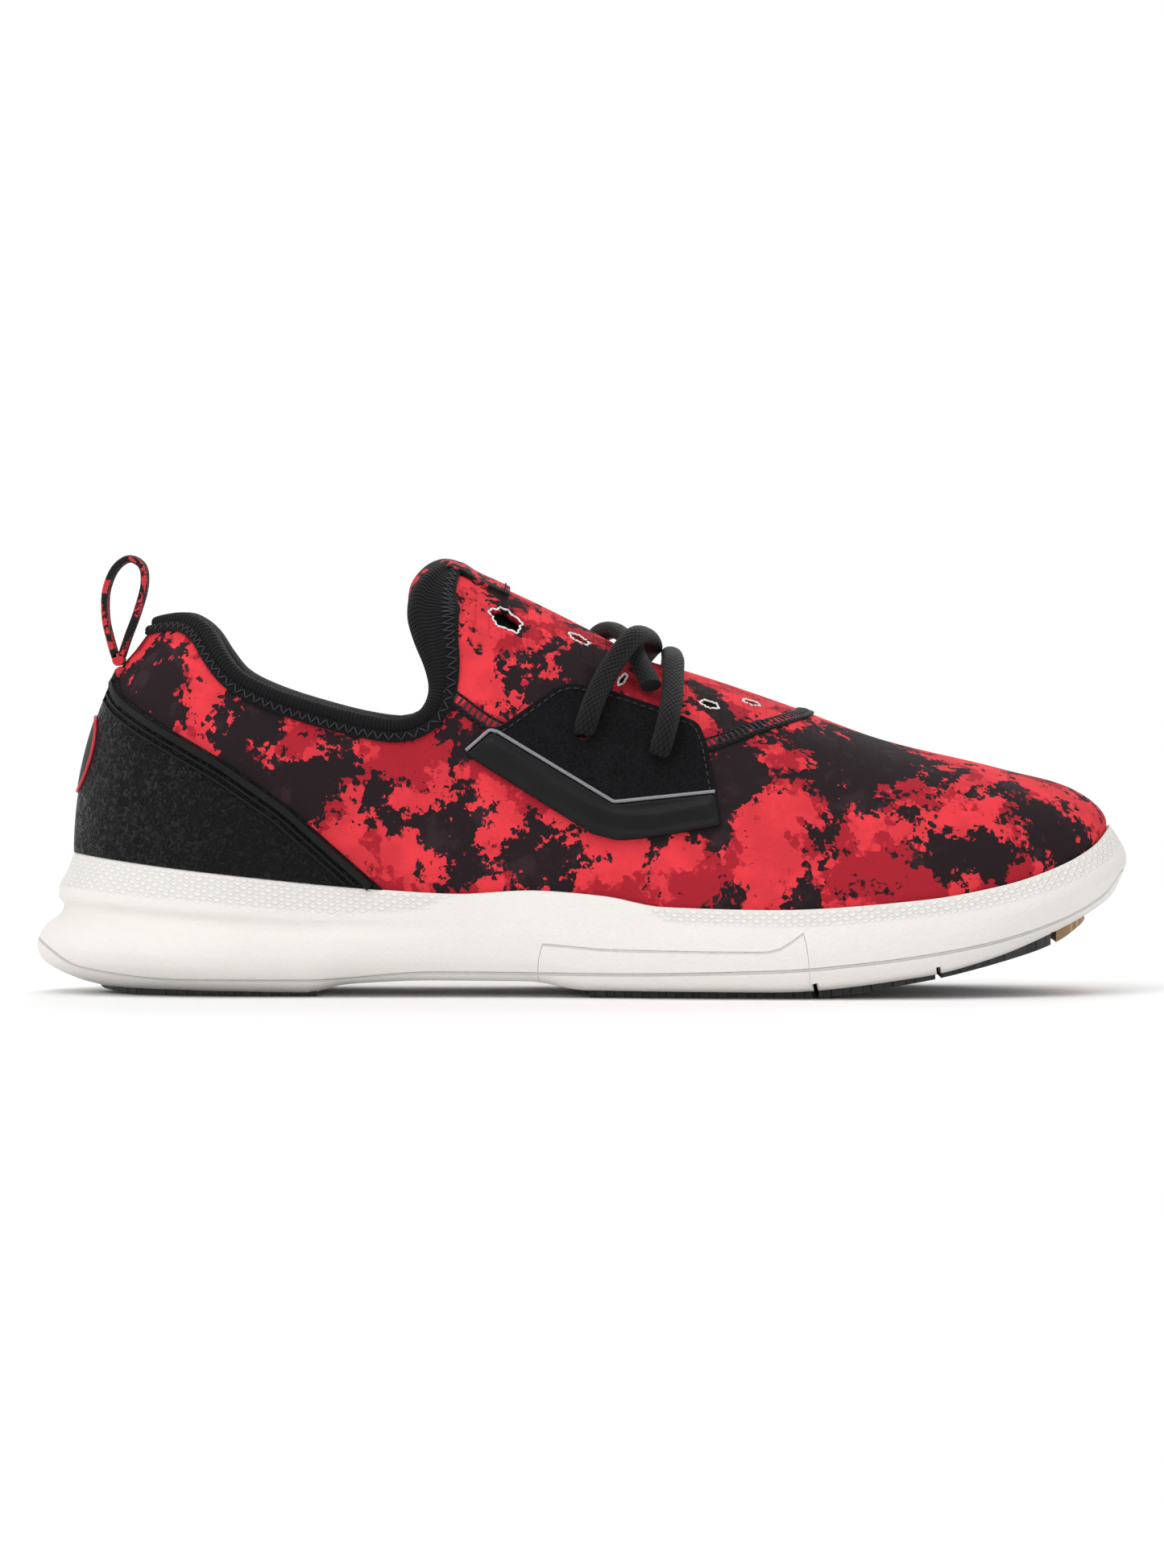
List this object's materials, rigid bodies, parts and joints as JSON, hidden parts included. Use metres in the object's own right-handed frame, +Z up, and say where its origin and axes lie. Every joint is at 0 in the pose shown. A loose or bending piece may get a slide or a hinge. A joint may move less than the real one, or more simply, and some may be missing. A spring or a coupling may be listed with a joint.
{
  "type": "slip-on trainer shoe",
  "caption": "Low slip-on trainer with a printed stretch upper, heel overlay and pull loop, side saddles with a short lace, and an off-white moulded sole.",
  "frame": {"origin": "on the ground under the middle of the sole", "axes": "+X to the toe, -Y to the outer side of the right foot, +Z up"},
  "size_m": [0.2998, 0.1058, 0.12],
  "materials": {
    "sole_foam": "moulded, off-white, fine pebble grain",
    "pad_rubber": "gum rubber, satin",
    "print_fabric": "stretch knit with a ragged red and black blotch print",
    "print_webbing": "woven black and red webbing",
    "black_textile": "black knit and elastic tape",
    "heel_leather": "black pebbled synthetic leather",
    "saddle_suede": "black microsuede",
    "black_film": "moulded matte film",
    "reflective": "grey reflective line",
    "badge_red": "raised red ring",
    "foam": "open-cell foam",
    "board": "non-woven lasting board",
    "stiffener": "thermoplastic stiffener sheet"
  },
  "bodies": {
    "shoe": {"midsole": "sole_foam", "heel_pad": "pad_rubber", "forefoot_pad_rear": "pad_rubber", "forefoot_pad_middle": "pad_rubber", "forefoot_pad_front": "pad_rubber", "toe_pad": "pad_rubber", "lasting_board": "board", "heel_counter": "stiffener", "toe_puff": "stiffener", "lining": "black_textile", "collar_padding": "foam", "quarter_and_vamp": "print_fabric", "throat_panel": "print_fabric", "throat_seam": "black_textile", "collar_binding": "black_textile", "tongue_top_tab": "print_webbing", "heel_overlay": "heel_leather", "heel_trim_outer": "black_film", "heel_trim_inner": "black_film", "heel_badge_plate": "black_film", "heel_badge_ring": "badge_red", "saddle_patch_outer": "saddle_suede", "saddle_film_outer": "black_film", "saddle_line_outer": "reflective", "saddle_patch_inner": "saddle_suede", "saddle_film_inner": "black_film", "saddle_line_inner": "reflective", "lace_rear_strand": "black_textile", "lace_front_strand": "black_textile", "lace_under_strand": "black_textile"},
    "pull_loop": {"heel_pull_loop": "print_webbing"},
    "footbed": {"footbed_foam": "foam", "footbed_cover": "black_textile"}
  },
  "joints": [
    {"name": "heel_loop_fold", "type": "hinge", "parent": "shoe", "child": "pull_loop", "pos_m": [-0.1273, 0, 0.0914], "axis": [0, 1, 0], "range_deg": [-90, 8], "stiffness_Nm_per_rad": 0.02},
    {"name": "footbed_lift", "type": "hinge", "parent": "shoe", "child": "footbed", "pos_m": [0.136, 0, 0.029], "axis": [0, 1, 0], "range_deg": [0, 4]}
  ]
}
